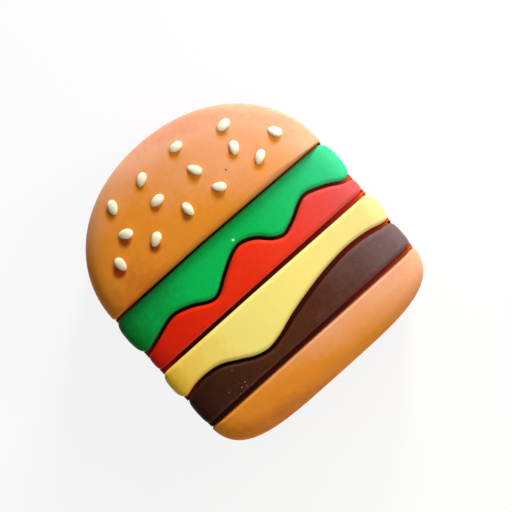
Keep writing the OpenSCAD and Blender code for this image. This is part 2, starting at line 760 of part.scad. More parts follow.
module microphone_boot() {
    color([0.12, 0.12, 0.12]) difference() {
        rod(0, mic_y, mic_z, panel_z, mic_d / 2 + mic_boot_t);
        rod(0, mic_y, mic_z - 1, mic_z + mic_h, mic_d / 2);
        rod(0, mic_y, mic_z, panel_z + 1, mic_port_r);
    }
}

module line_jack() {
    color([0.15, 0.15, 0.16]) difference() {
        block([jack_x0, jack_y - jack_w / 2, jack_z],
            [jack_end, jack_y + jack_w / 2, jack_z + jack_h]);
        block([jack_x0 - 1, jack_y - socket_w / 2, socket_z],
            [jack_x0 + socket_l, jack_y + socket_w / 2, socket_z + socket_h]);
        block([jack_x0 - 1, jack_y - latch_w / 2, socket_z - latch_d],
            [jack_x0 + latch_l, jack_y + latch_w / 2, socket_z + 1]);
        for (i = [-1.5:1.5]) rod_x(jack_x0, jack_end + 1,
            jack_y + i * contact_pitch, contact_z, contact_r + 0.02);
    }
}

module jack_contacts() {
    color("gold") for (i = [-1.5:1.5]) rod_x(jack_x0 + 4.4, jack_end,
        jack_y + i * contact_pitch, contact_z, contact_r);
}

// Points of the hook spring's coil
function spring_points(steps) =
    [for (i = [0:spring_turns * steps])
        let (a = 360 * i / steps, z0 = seat_z + spring_wire_r + 0.05,
            z1 = plunger_flange_z - spring_wire_r - 0.05)
        [spring_r * cos(a), plunger_y + spring_r * sin(a),
         z0 + (z1 - z0) * i / (spring_turns * steps)]];

module hook_spring() {
    color("silver") tube(spring_points(14), spring_wire_r, up = [0, 0, 1], steps = 1, sides = 6);
}

module hook_contacts() {
    color("goldenrod") {
        block([-14, plunger_y - 3, board_top], [-8, plunger_y + 3, board_top + 2.6]);
        block([-9, plunger_y - 1.5, board_top + 0.1], [-leaf_end_x, plunger_y + 1.5, board_top + 0.35]);
    }
}

module hook_plunger() {
    color("ivory") {
        rod(0, plunger_y, plunger_flange_top - thin, plunger_top, plunger_r);
        rod(0, plunger_y, plunger_flange_z, plunger_flange_top, plunger_flange_r);
        rod(0, plunger_y, guide_top - plunger_travel - 1, plunger_flange_z + thin, stem_r);
    }
}

module slide_switches() {
    color([0.2, 0.2, 0.22]) for (y = SWITCH_YS) difference() {
        block([switch_x0, y - switch_l / 2, switch_z],
            [switch_x1, y + switch_l / 2, switch_z + switch_h]);
        block([switch_x1 - knob_root - 0.4, y - (knob_l + slide_travel) / 2 - slide_fit,
            knob_z - slide_fit],
            [switch_x1 + 1, y + (knob_l + slide_travel) / 2 + slide_fit, knob_z + knob_h + slide_fit]);
    }
}

module slide_knob(y) {
    color("ivory") block([switch_x1 - knob_root, y - (knob_l + slide_travel) / 2, knob_z],
        [half_w - base_inset + knob_proud, y + (knob_l - slide_travel) / 2, knob_z + knob_h]);
}

module base_screws() {
    color("silver") for (p = screw_spots()) {
        rod(p.x, p.y, head_seat_z - head_h, head_seat_z, screw_head_r);
        rod(p.x, p.y, head_seat_z, panel_z - 2, base_screw_r);
    }
}

module rubber_feet() {
    color([0.13, 0.13, 0.13]) for (p = foot_spots()) rod(p.x, p.y, 0, floor_z + foot_socket, foot_r);
}

module hinge_pins() {
    color("silver") mirrored_x() rod_x(pin_x0, pin_x1, hinge_y, hinge_z, pin_r);
}

module key(k) {
    x = key_x(k);
    y = key_y(k);
    flange = [key_w, key_d] + 2 * [key_flange_w, key_flange_w];
    color("wheat") {
        translate([x, y, flange_z]) linear_extrude(key_flange_t) square(flange, center = true);
        translate([x, y, flange_z]) linear_extrude(key_top - flange_z)
            square([key_w, key_d], center = true);
    }
}

// ---- Lid ----

// The lid shell's plan: its block, and the fins that stand between the layers' skirts
module lid_plan_2d() {
    body_2d(lid_wall_out);
    difference() {
        body_2d(fin_inset);
        layers_2d(fit);
    }
}

module lid_arm() {
    x0 = lid_knuckle_x - lid_knuckle_l;
    back = heel_y + lid_wall_out + 0.7;
    rod_x(x0, lid_knuckle_x, hinge_y, hinge_z, knuckle_r);
    block([x0, back, hinge_z], [lid_knuckle_x, hinge_y + 1, rim_z]);
    block([x0, back, hinge_z], [lid_knuckle_x, heel_y + lid_wall_in + 0.2, rim_z + 3]);
}

module lid_shell() {
    color("firebrick") difference() {
        union() {
            at_z(rim_z, rim_z + rim_flange_h) difference() {
                body_2d(fin_inset);
                body_2d(lid_wall_in);
            }
            at_z(rim_z, plate_z + thin) difference() {
                lid_plan_2d();
                body_2d(lid_wall_in);
            }
            at_z(plate_z, plate_top) lid_plan_2d();
            mirrored_x() lid_arm();
            for (p = lid_screw_spots()) rod(p.x, p.y, lid_cavity_z, plate_z + thin, lid_boss_r);
        }
        mirrored_x() rod_x(lid_knuckle_x - lid_knuckle_l - 1, lid_knuckle_x + 1,
            hinge_y, hinge_z, pin_bore_lid);
        for (p = lid_screw_spots()) rod(p.x, p.y, lid_cavity_z - 1, plate_z - 1, small_screw_r + 0.02);
        for (p = layer_screw_spots()) rod(p.x, p.y, plate_z - 1, plate_top + 1, small_screw_r + 0.25);
    }
}

function lid_screw_spots() = [lid_screw_rear, [-lid_screw_rear.x, lid_screw_rear.y],
    lid_screw_front, [-lid_screw_front.x, lid_screw_front.y]];
function layer_screw_spots() = [for (s = LAYER_SCREWS) [s[0] * half_w, s[1]]];

module layer_pilots() {
    for (p = layer_screw_spots()) rod(p.x, p.y, plate_top - 1, plate_top + 3.7, small_screw_r + 0.02);
}

// A layer: its relief on the face plate, and the skirt that wraps the lid's side
module layer() {
    difference() {
        union() {
            at_z(plate_top, relief_top) children();
            at_z(skirt_z, plate_top + thin) difference() {
                children();
                body_2d(lid_wall_out - fit);
            }
        }
        layer_pilots();
    }
}

module lettuce() {
    color([0.05, 0.66, 0.33]) layer() lettuce_2d();
}

module tomato() {
    color([0.92, 0.2, 0.09]) layer() tomato_2d();
}

module cheese() {
    color([0.98, 0.87, 0.48]) layer() cheese_2d();
}

module patty() {
    color([0.35, 0.22, 0.15]) layer() patty_2d();
}

function bun_height(row) = plate_top + row[2] * relief_h + row[3] * bun_rise;

// Height of the top bun's surface at a point
function bun_surface(x, y) =
    let (
        up = y - dome_y,
        share = pow(pow(abs(x - dome_lean * up) / half_w, dome_power)
            + pow(abs(up) / dome_h, dome_power), 1 / dome_power),
        by_share = lookup(-share, [for (row = BUN_PROFILE) [-row[0], bun_height(row)]]),
        by_edge = lookup(y - bun_edge_y, [for (row = BUN_PROFILE) [row[1], bun_height(row)]]))
    min(by_share, by_edge);

// The top bun's outline at one row of its profile, from its right corner to its left
function bun_ring(row) =
    let (start = asin(pow((bun_edge_up + row[1]) / (dome_h * row[0]), dome_power / 2)))
    [for (p = curve_points(half_w, dome_h, dome_power, start, 180 - start, dome_steps))
        [row[0] * (p.x + dome_lean * p.y), dome_y + row[0] * p.y]];

// A solid skinned over the rows of the profile
module top_bun_solid() {
    n = dome_steps + 1;
    top = (len(BUN_PROFILE) - 1) * n;
    points = [for (row = BUN_PROFILE, p = bun_ring(row)) [p.x, p.y, bun_height(row)]];
    walls = [for (low = [0:n:top - n], i = [0:n - 1])
        let (a = low + i, b = low + (i + 1) % n)
        each [[a, a + n, b + n], [a, b + n, b]]];
    ends = [[for (i = [0:n - 1]) i], [for (i = [n - 1:-1:0]) top + i]];
    polyhedron(points = points, faces = concat(walls, ends), convexity = 4);
}

// Points of a seed's outline on one side of its long axis, from its tip to its blunt end
function seed_profile() = [[0, -seed_l / 2], [0.1 * seed_w, -seed_l / 2],
    [0.275 * seed_w, -0.4 * seed_l], [0.475 * seed_w, 0], [seed_w / 2, 0.175 * seed_l],
    [0.33 * seed_w, 0.43 * seed_l], [0.14 * seed_w, seed_l / 2], [0, seed_l / 2]];

module seed() {
    rotate([0, 90, 0]) rotate_extrude($fn = 24) polygon(seed_profile());
}

// The pocket that a seed is glued into
module seed_pocket() {
    translate([0, 0, -seed_w / 2 - seed_fit]) linear_extrude(2 * seed_w) offset(delta = seed_fit)
        rotate(-90) mirrored_x() polygon(seed_profile());
}

// A copy at every seed's place on the dome
module at_seeds() {
    for (s = SEEDS) {
        x = s[0] * half_w;
        y = bun_edge_y + s[1] * dome_h;
        translate([x, y, bun_surface(x, y) - seed_sink]) rotate(s[2]) children();
    }
}

module top_bun() {
    color([0.9, 0.62, 0.33]) difference() {
        union() {
            top_bun_solid();
            at_z(skirt_z, plate_top + thin) difference() {
                polygon(bun_ring(BUN_PROFILE[0]));
                body_2d(lid_wall_out - fit);
            }
        }
        layer_pilots();
        at_seeds() seed_pocket();
    }
}

module sesame_seeds() {
    color([0.96, 0.93, 0.85]) at_seeds() seed();
}

module bottom_bun() {
    color([0.88, 0.58, 0.28]) difference() {
        union() {
            hull() for (row = HEEL_PROFILE) {
                z = plate_top + row[1] * relief_h;
                at_z(max(z - slab_t, plate_top), max(z, plate_top + slab_t)) bottom_bun_2d(row[0]);
            }
            at_z(skirt_z, plate_top + thin) difference() {
                bottom_bun_2d();
                body_2d(lid_wall_out - fit);
            }
        }
        layer_pilots();
    }
}

module ingredient_screws() {
    color("silver") for (p = layer_screw_spots()) {
        rod(p.x, p.y, plate_z - head_h, plate_z, lid_head_r);
        rod(p.x, p.y, plate_z, plate_top + 3.4, small_screw_r);
    }
}

module lid_inner_panel() {
    ring = receiver_d / 2 + fit;
    color("wheat") difference() {
        union() {
            at_z(lid_panel_z, lid_cavity_z) body_2d(lid_wall_in + fit);
            difference() {
                rod(0, receiver_y, lid_cavity_z - thin, lid_cavity_z + 4.6, ring + receiver_wall);
                rod(0, receiver_y, lid_cavity_z - thin, lid_cavity_z + 5, ring);
                block([-1.6, receiver_y - ring - 3, lid_cavity_z], [1.6, receiver_y, plate_z]);
            }
        }
        rod(0, receiver_y, lid_panel_z - 1, lid_cavity_z + 1, ear_hole_r);
        for (n = [6, 12], i = [0:n - 1]) rotate_about(receiver_y, 360 * i / n)
            rod(n * ear_hole_step, receiver_y, lid_panel_z - 1, lid_cavity_z + 1, ear_hole_r);
        for (p = lid_screw_spots()) {
            rod(p.x, p.y, lid_panel_z - 1, lid_panel_z + head_h - 0.2, lid_head_r + 0.2);
            rod(p.x, p.y, lid_panel_z, lid_cavity_z + 1, small_screw_r + 0.2);
        }
        rod(-lead_x, hinge_y + 1.8, lid_panel_z - 1, lid_cavity_z + 1, lead_r + 0.6);
    }
}

module rotate_about(y, angle) {
    translate([0, y, 0]) rotate(angle) translate([0, -y, 0]) children();
}

module lid_screws() {
    color("silver") for (p = lid_screw_spots()) {
        rod(p.x, p.y, lid_panel_z, lid_panel_z + head_h - 0.2, lid_head_r);
        rod(p.x, p.y, lid_panel_z + head_h - 0.2, plate_z - 1.6, small_screw_r);
    }
}

module receiver() {
    color([0.25, 0.25, 0.27]) rod(0, receiver_y, receiver_z, receiver_z + receiver_h, receiver_d / 2);
}

module receiver_gasket() {
    color([0.1, 0.1, 0.1]) difference() {
        rod(0, receiver_y, lid_cavity_z, receiver_z, receiver_d / 2);
        rod(0, receiver_y, lid_cavity_z - 1, receiver_z + 1, receiver_d / 2 - 3);
    }
}

module receiver_lead() {
    color("crimson") tube(RECEIVER_LEAD, lead_r, up = [0.6, 0.1, 0.2]);
}

module base_lead() {
    color("crimson") tube(BASE_LEAD, lead_r, up = [0.1, 0.1, 1]);
}

module jack_wire() {
    color("crimson") tube(JACK_WIRE, wire_r, up = [0, 1, 0]);
}

module ringer_wire() {
    color("crimson") tube(RINGER_WIRE, wire_r, up = [0.9, 0.4, 0]);
}

module microphone_wire() {
    color("crimson") tube(MIC_WIRE, wire_r, up = [1, 0, 0]);
}

module switch_wires() {
    color("crimson") for (y = SWITCH_YS) translate([0, y, 0]) tube(SWITCH_WIRE, wire_r, up = [0, 1, 0]);
}

// ---- Nodes ----

base_shell();
keypad_panel();
keypad_mat();
circuit_board();
board_components();
board_screws();
ballast_plate();
ringer();
microphone();
microphone_boot();
line_jack();
jack_contacts();
hook_spring();
hook_contacts();
slide_switches();
base_screws();
rubber_feet();
hinge_pins();
jack_wire();
ringer_wire();
microphone_wire();
switch_wires();
base_lead();
hook_plunger();
slide_knob(SWITCH_YS[0]);  // ringer_knob
slide_knob(SWITCH_YS[1]);  // tone_knob
for (k = KEYS) key(k);
lid_shell();
top_bun();
sesame_seeds();
lettuce();
tomato();
cheese();
patty();
bottom_bun();
ingredient_screws();
lid_inner_panel();
lid_screws();
receiver();
receiver_gasket();
receiver_lead();
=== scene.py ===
"""Looks of the flip-open hamburger telephone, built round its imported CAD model."""
import json
import math

import bmesh
import bpy
import numpy as np
from mathutils import Euler, Matrix, Vector


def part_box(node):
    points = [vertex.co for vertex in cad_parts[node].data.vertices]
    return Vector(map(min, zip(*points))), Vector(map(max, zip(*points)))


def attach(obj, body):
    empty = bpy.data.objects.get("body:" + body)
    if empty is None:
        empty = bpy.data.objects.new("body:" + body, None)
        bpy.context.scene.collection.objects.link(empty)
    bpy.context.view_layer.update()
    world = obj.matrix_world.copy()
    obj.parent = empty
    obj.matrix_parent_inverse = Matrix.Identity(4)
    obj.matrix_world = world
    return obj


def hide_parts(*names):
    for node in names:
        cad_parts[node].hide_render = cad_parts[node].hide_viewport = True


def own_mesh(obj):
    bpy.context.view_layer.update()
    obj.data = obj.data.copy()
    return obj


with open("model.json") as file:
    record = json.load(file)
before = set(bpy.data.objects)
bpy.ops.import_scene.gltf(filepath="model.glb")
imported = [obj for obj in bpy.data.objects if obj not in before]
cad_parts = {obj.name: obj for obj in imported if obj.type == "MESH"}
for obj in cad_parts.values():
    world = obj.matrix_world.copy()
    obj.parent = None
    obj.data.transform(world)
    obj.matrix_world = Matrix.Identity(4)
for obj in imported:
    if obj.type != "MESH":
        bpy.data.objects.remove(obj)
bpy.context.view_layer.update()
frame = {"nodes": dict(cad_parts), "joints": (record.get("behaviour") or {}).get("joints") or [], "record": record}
NODES = frame["nodes"]
MM = 0.001

# The burger's outline in millimetres. The buns are as in the CAD source, and the layers' edges
# are drawn a little finer.
HALF_W = 54.8
DOME_Y, DOME_H, DOME_POWER, DOME_LEAN = 14.7, 46.4, 2.1, -0.02
HEEL_Y, HEEL_H, HEEL_POWER = -32.5, 28.6, 4
GROOVE = 1.4
BUN_EDGE, LETTUCE_TOP, WAVE_1_Y, TOMATO_LOW = 15.0, 14.1, -0.2, -12.3
CHEESE_TOP, WAVE_2_Y, PATTY_LOW, HEEL_BUN_TOP = -14.0, -30.4, -41.3, -43.2
SKIRT_Z, PLATE_Z, RELIEF_Z = 23.4, 34.0, 39.0
SKIRT_T = 1.65
# The groove under the top bun is level up to the first place, and has sunk fully at the second
SINK_FROM, SINK_TO, SINK = -8, 50, 1.4
# The two wavy grooves: place along the half width, and share of the swing off the middle line
WAVE_1_SWING, WAVE_2_SWING = 5.2, 4.8
WAVE_1 = [(-1.06, -1.05), (-0.84, -0.31), (-0.66, 0.2), (-0.51, -0.2), (-0.34, -1),
          (-0.17, -0.06), (-0.05, 0.63), (0.04, 0.9), (0.12, 0.72), (0.19, 0.27), (0.26, -0.48),
          (0.34, -0.87), (0.41, -0.69), (0.48, -0.38), (0.57, 0.13), (0.66, 0.36),
          (0.82, -0.27), (0.93, -0.92), (1.06, -1.04)]
WAVE_2 = [(-1.06, 0.24), (-0.89, 0.81), (-0.77, 0.93), (-0.64, 0.72), (-0.51, -0.04),
          (-0.4, -0.71), (-0.29, -1), (-0.16, -0.75), (0, -0.17), (0.18, 0.33),
          (0.4, 0.79), (0.62, 1), (0.8, 0.83), (0.93, 0.46), (1.06, 0.25)]
# Profile of the top bun: share of the outline, step in from the straight edge, height
BUN_ROWS = np.array([(1, 0, 37.1), (0.988, 0.1, 38.8), (0.965, 0.25, 40), (0.92, 0.5, 41.2),
                     (0.84, 0.9, 42.1), (0.68, 1.7, 42.7), (0.45, 3.4, 43)])
# Profile of the bottom bun: step in from the outline, step in from the straight edge, height
HEEL_ROWS = [(0, 0, 34.6), (0.25, 0.1, 35.4), (0.9, 0.25, 36.3), (2.2, 0.5, 37.3),
             (4.4, 0.9, 38.3), (8, 1.4, 39)]
# Seeds: place along the half width and up the dome, and the long axis' direction
SEEDS = [(-0.453, 0.733, 65), (-0.161, 0.746, 30), (0.182, 0.759, -5), (0.547, 0.625, 0),
         (-0.511, 0.487, -30), (-0.179, 0.522, 0), (0.175, 0.504, -60), (0.496, 0.418, 60),
         (-0.686, 0.323, 90), (-0.372, 0.28, 30), (-0.051, 0.289, 90), (0.226, 0.254, -40),
         (0.591, 0.211, 30), (0.796, 0.289, -60)]
# Height of a seed's middle over the bun
SEED_LIFT = 0.35
# A layer's ends: the outline's corner, and how far in and how deep the face bends down
END_POWER, END_REACH, END_DROP = 2.6, 9, 2.6
# Radius of the layers' upper edges, and the flat land inside them
EDGE_RADIUS, EDGE_LAND = 1.7, 0.4
RING_POINTS = 420


# ---- Outlines ----

def arc(a, b, power, start, end, steps):
    """Points of a superellipse between two angles in degrees."""
    t = np.radians(np.linspace(start, end, steps + 1))
    c, s = np.cos(t), np.sin(t)
    return np.stack([a * np.sign(c) * np.abs(c) ** (2 / power),
                     b * np.sign(s) * np.abs(s) ** (2 / power)], 1)


def spline(points, steps):
    """A Catmull-Rom curve through the points."""
    p = np.asarray(points, float)
    p = np.vstack([p[:1], p, p[-1:]])
    out = []
    for i in range(1, len(p) - 2):
        a, b, c, d = p[i - 1:i + 3]
        for t in np.arange(steps) / steps:
            out.append(0.5 * (2 * b + (c - a) * t + (2 * a - 5 * b + 4 * c - d) * t ** 2
                              + (3 * b - a - 3 * c + d) * t ** 3))
    return np.array(out + [p[-2]])


def wave(controls, y, swing, shift):
    """A wavy edge of a layer, moved sideways off the groove's middle line."""
    line = spline([(u * HALF_W, y + swing * v) for u, v in controls], 8)
    run = np.gradient(line, axis=0)
    normal = np.stack([-run[:, 1], run[:, 0]], 1) / np.linalg.norm(run, axis=1)[:, None]
    return line + shift * normal


def sunk(x):
    """How far the groove under the top bun sinks towards its right end."""
    return np.interp(x, (SINK_FROM, SINK_TO), (0, SINK))


def edge(y, fall=0.0):
    """A nearly straight edge of a layer, which may sink like the groove under the top bun."""
    x = np.array([-2 * HALF_W, SINK_FROM, SINK_TO, 2 * HALF_W])
    return np.stack([x, y - fall * sunk(x)], 1)


def sink_edge(obj, depth=8):
    """Lets the top bun's straight edge follow its groove."""
    for v in obj.data.vertices:
        near_edge = min(1, max(0, (BUN_EDGE + depth - v.co.y / MM) / depth))
        v.co.y -= near_edge * sunk(v.co.x / MM) * MM
    return obj


def layer_outline(upper, lower, half, end):
    """A layer between two edges, with rounded ends of a given reach, anticlockwise."""
    middle = half - end
    ends = []
    for side, start in ((1, -90), (-1, 90)):
        low, up = (np.interp(side * middle, *line.T) for line in (lower, upper))
        ends.append(arc(end, (up - low) / 2, END_POWER, start, start + 180, 24)
                    + [side * middle, (up + low) / 2])
    upper, lower = (line[np.abs(line[:, 0]) < middle - 0.2] for line in (upper, lower))
    return np.vstack([ends[0], upper[::-1], ends[1], lower])


def resample(points, count=RING_POINTS):
    """Evenly spaced points on a closed outline."""
    p = np.vstack([points, points[:1]])
    so_far = np.concatenate([[0], np.cumsum(np.linalg.norm(np.diff(p, axis=0), axis=1))])
    at = np.linspace(0, so_far[-1], count, endpoint=False)
    return np.stack([np.interp(at, so_far, p[:, 0]), np.interp(at, so_far, p[:, 1])], 1)


def soften(p, passes):
    """Rounds the corners of an evenly spaced closed outline, or evens out values along it."""
    for _ in range(passes):
        p = 0.25 * np.roll(p, 1, 0) + 0.5 * p + 0.25 * np.roll(p, -1, 0)
    return p


def ring_at(outline, z):
    return np.column_stack([outline, np.full(len(outline), z)])


def inset_rings(outline, rows):
    """Rings of the outline moved inwards, one for each (inset, height).

    Narrow corners move less, as far as 0.8 of their radius."""
    run = np.roll(outline, -1, 0) - np.roll(outline, 1, 0)
    length = np.linalg.norm(run, axis=1)
    normal = np.stack([-run[:, 1], run[:, 0]], 1) / length[:, None]
    heading = np.unwrap(np.arctan2(run[:, 1], run[:, 0]))
    turn = (np.roll(heading, -1) - np.roll(heading, 1) + math.pi) % (2 * math.pi) - math.pi
    straight, least_turn = 99, 1e-3
    radius = np.where(turn > least_turn, length / np.maximum(turn, least_turn), straight)
    limit = soften(0.8 * np.min([np.roll(radius, k) for k in range(-3, 4)], axis=0), 6)
    return [ring_at(outline + normal * np.minimum(inset, limit)[:, None], z)
            for inset, z in rows]


def bun_ring(a, b, shape, cut_y, up, z):
    """Ring of a bun: its curved side beyond the line y = cut_y, and straight back."""
    power, lean, axis_y = shape
    start = math.degrees(math.asin(min(1, (up * (cut_y - axis_y) / b)) ** (power / 2)))
    p = arc(a, b, power, start, 180 - start, 160)
    p = np.stack([p[:, 0] + lean * p[:, 1], axis_y + up * p[:, 1]], 1)[::up]
    return ring_at(soften(resample(p), 3), z)


# ---- Meshes ----

def mesh_object(name, verts, faces):
    mesh = bpy.data.meshes.new(name)
    mesh.from_pydata([tuple(v) for v in verts], [], faces)
    mesh.validate()
    obj = bpy.data.objects.new(name, mesh)
    bpy.context.scene.collection.objects.link(obj)
    return obj


def loft(name, rings):
    """A closed solid over stacked rings, given from the bottom up in millimetres."""
    n = len(rings[0])
    verts = np.vstack(rings) * MM
    faces = [[k * n + i, k * n + (i + 1) % n, (k + 1) * n + (i + 1) % n, (k + 1) * n + i]
             for k in range(len(rings) - 1) for i in range(n)]
    faces += [list(range(n))[::-1], [(len(rings) - 1) * n + i for i in range(n)]]
    return mesh_object(name, verts, faces)


def evaluated_mesh(obj):
    """A new mesh from an object as it is shown, with its modifiers."""
    bpy.context.view_layer.update()
    return bpy.data.meshes.new_from_object(obj.evaluated_get(
        bpy.context.evaluated_depsgraph_get()))


def freeze(obj):
    """Applies the modifiers."""
    mesh = evaluated_mesh(obj)
    obj.modifiers.clear()
    obj.data = mesh
    return obj


def shade(obj, angle=32):
    for face in obj.data.polygons:
        face.use_smooth = True
    obj.data.set_sharp_from_angle(angle=math.radians(angle))
    return obj


def edge_rows(top, steps=6):
    """Rows of a rounded upper edge, and of the flat land inside it."""
    t = np.linspace(0, math.pi / 2, steps + 1)
    rows = [(EDGE_RADIUS * (1 - math.cos(a)), top - EDGE_RADIUS * (1 - math.sin(a))) for a in t]
    return rows + [(EDGE_RADIUS + EDGE_LAND, top)]


def round_ends(obj, half):
    """Bends a layer's face down towards its two ends."""
    mesh = bmesh.new()
    mesh.from_mesh(obj.data)
    for share in (0, 0.12, 0.24, 0.36, 0.48, 0.6, 0.7, 0.8, 0.88, 0.94):
        for side in (-1, 1):
            x = side * (half - END_REACH * (1 - share)) * MM
            geometry = mesh.verts[:] + mesh.edges[:] + mesh.faces[:]
            bmesh.ops.bisect_plane(mesh, geom=geometry, dist=1e-7, plane_co=(x, 0, 0),
                                   plane_no=(1, 0, 0))
    base = PLATE_Z * MM
    for v in mesh.verts:
        reach = min(1, max(0, (abs(v.co.x) / MM - half + END_REACH) / END_REACH))
        fall = END_DROP * (1 - math.sqrt(1 - reach ** 2)) * MM
        v.co.z -= fall * max(0, v.co.z - base) / (RELIEF_Z * MM - base)
    mesh.to_mesh(obj.data)
    mesh.free()
    return obj


def carrier_cutter(points=300, low=10):
    """The room that the layers leave for the carrier, up to its plate."""
    dome = arc(HALF_W - SKIRT_T, DOME_H - SKIRT_T, DOME_POWER, 0, 180, 120)
    dome = np.stack([dome[:, 0] + DOME_LEAN * dome[:, 1], DOME_Y + dome[:, 1]], 1)
    heel = arc(HALF_W - SKIRT_T, HEEL_H - SKIRT_T, HEEL_POWER, 180, 360, 120) + [0, HEEL_Y]
    outline = resample(np.vstack([dome, heel]), points)
    return loft("cutter", [ring_at(outline, z) for z in (low, PLATE_Z)])


def cut(obj, cutter):
    """Takes the cutter's space off a piece."""
    modifier = obj.modifiers.new("cut", "BOOLEAN")
    modifier.operation = "DIFFERENCE"
    modifier.solver = "EXACT"
    modifier.object = cutter
    return freeze(obj)


# ---- Materials ----

def srgb(*rgb):
    """Linear colour of an 8 bit display colour."""
    return [(c / 255 / 12.92 if c <= 10 else ((c / 255 + 0.055) / 1.055) ** 2.4)
            for c in rgb] + [1]


class Tree:
    """A material's node tree, with short calls to add nodes and links."""

    def __init__(self, name):
        self.material = bpy.data.materials.new(name)
        self.material.use_nodes = True
        self.nodes = self.material.node_tree.nodes
        self.links = self.material.node_tree.links
        self.shader = self.nodes["Principled BSDF"]
        self.at = self.add("ShaderNodeTexCoord").outputs["Object"]

    def feed(self, node, inputs):
        """Links sockets to a node's inputs, and sets the inputs that are given a value."""
        for key, value in inputs.items():
            if isinstance(value, bpy.types.NodeSocket):
                self.links.new(value, node.inputs[key])
            else:
                node.inputs[key].default_value = value

    def add(self, kind, inputs=None, **settings):
        node = self.nodes.new(kind)
        for key, value in settings.items():
            setattr(node, key, value)
        self.feed(node, inputs or {})
        return node

    def xyz(self):
        return self.add("ShaderNodeSeparateXYZ", {"Vector": self.at}).outputs

    def noise(self, scale, detail=3, **inputs):
        return self.add("ShaderNodeTexNoise", {"Vector": self.at, "Scale": scale, "Detail": detail,
                                               "Roughness": 0.55, **inputs}).outputs["Fac"]

    def spread(self, value, low, high, to_low=0.0, to_high=1.0):
        """Maps the range from low to high to another, and stops at its ends."""
        return self.add("ShaderNodeMapRange", {"Value": value, "From Min": low, "From Max": high,
                        "To Min": to_low, "To Max": to_high}).outputs["Result"]

    def math(self, operation, a, b):
        return self.add("ShaderNodeMath", {0: a, 1: b}, operation=operation).outputs[0]

    def vector(self, operation, a, b=(0, 0, 0)):
        kind = "Value" if operation in ("DOT_PRODUCT", "LENGTH", "DISTANCE") else "Vector"
        return self.add("ShaderNodeVectorMath", {0: a, 1: b}, operation=operation).outputs[kind]

    def mix(self, factor, a, b):
        node = self.add("ShaderNodeMix", data_type="RGBA")
        self.feed(node, {0: factor, 6: a, 7: b})
        return node.outputs[2]

    def ramp(self, place, tones):
        """Colour along a place from 0 to 1, from (place, colour) pairs, first to last."""
        node = self.add("ShaderNodeValToRGB", {"Fac": place})
        stops = node.color_ramp.elements
        stops[0].color, stops[1].color = srgb(*tones[0][1]), srgb(*tones[-1][1])
        for at, tone in tones[1:-1]:
            stops.new(at).color = srgb(*tone)
        return node.outputs["Color"]

    def faint(self, scale, dark, light):
        """Faint variation between two colours."""
        return self.mix(self.spread(self.noise(scale, 4), 0.2, 0.8), srgb(*dark), srgb(*light))

    def uneven(self, scale, rough, less, more):
        """A roughness that varies from rough - less to rough + more."""
        return self.spread(self.noise(scale, 4), 0.3, 0.7, rough - less, rough + more)

    def done(self, bumps, **inputs):
        """The material, with its shader's inputs and its stacked bumps.

        An input's spaces are written as _; a bump is (height, distance in metres, strength)."""
        self.feed(self.shader, {name.replace("_", " "): v for name, v in inputs.items()})
        normal = None
        for height, distance, strength in bumps:
            node = self.add("ShaderNodeBump", {"Height": height, "Distance": distance,
                                               "Strength": strength})
            if normal is not None:
                self.links.new(normal, node.inputs["Normal"])
            normal = node.outputs["Normal"]
        self.links.new(normal, self.shader.inputs["Normal"])
        return self.material


def reach_across(t):
    """Place along a flat layer for its painted light, from 0 at its painted shade to 1 at its painted sheen."""
    return t.spread(t.xyz()["X"], -0.057, 0.057)


# From a seed's middle to the painted shadow on its shaded side, in millimetres
PAINTED_SEED_SHADOW = (-2.4, -1.9)


def reach_bun(t):
    """Place on the buns, from 0 at their painted shade to 0.85 at their painted sheen.

    The top bun has painted light towards its outer edge, where it passes 0.85, and a
    painted shadow on the shaded side of each seed."""
    at = t.xyz()

    def by_bun(heel, top):
        """One value on the bottom bun and another on the top bun."""
        return t.spread(at["Y"], -0.021, -0.02, heel, top)

    # Height over each bun's middle, which counts for more on the narrow bottom bun.
    # The painted sheen grows with it and with x, and painted shade lies the other way
    up = t.math("MULTIPLY", t.math("SUBTRACT", at["Y"], by_bun(-0.0468, 0.015)), by_bun(3.2, 1))
    face = t.add("ShaderNodeCombineXYZ", {"X": at["X"], "Y": up}).outputs["Vector"]
    place = t.spread(t.vector("DOT_PRODUCT", face, (0.67, 0.74, 0)), -0.04, 0.046, 0, 0.85)
    from_middle = t.vector("MULTIPLY", t.vector("SUBTRACT", t.at, (0, DOME_Y * MM, 0)),
                           (1 / (HALF_W * MM), 1 / (DOME_H * MM), 0))
    # Painted light towards the top bun's outer edge
    painted_rim_light = t.spread(t.vector("LENGTH", from_middle), 0.7, 1, 0, 0.2)
    # Painted shadow on the shaded side of each seed
    painted_seed_shadow = 0.0
    for u, v, _ in SEEDS:
        x, y = u * HALF_W + PAINTED_SEED_SHADOW[0], BUN_EDGE + v * DOME_H + PAINTED_SEED_SHADOW[1]
        painted_seed_shadow = t.math("MAXIMUM", near(t, x, y, 3.4, 1), painted_seed_shadow)
    place = t.math("SUBTRACT", t.math("ADD", place, painted_rim_light), t.spread(painted_seed_shadow, 0, 1, 0, 0.36))
    return t.math("MINIMUM", place, by_bun(0.85, 1))


def near(t, x, y, far, close):
    """1 within close millimetres of a place on the relief's face, 0 beyond far."""
    face = t.vector("MULTIPLY", t.at, (1, 1, 0))
    return t.spread(t.vector("DISTANCE", face, (x * MM, y * MM, 0)), far * MM, close * MM)


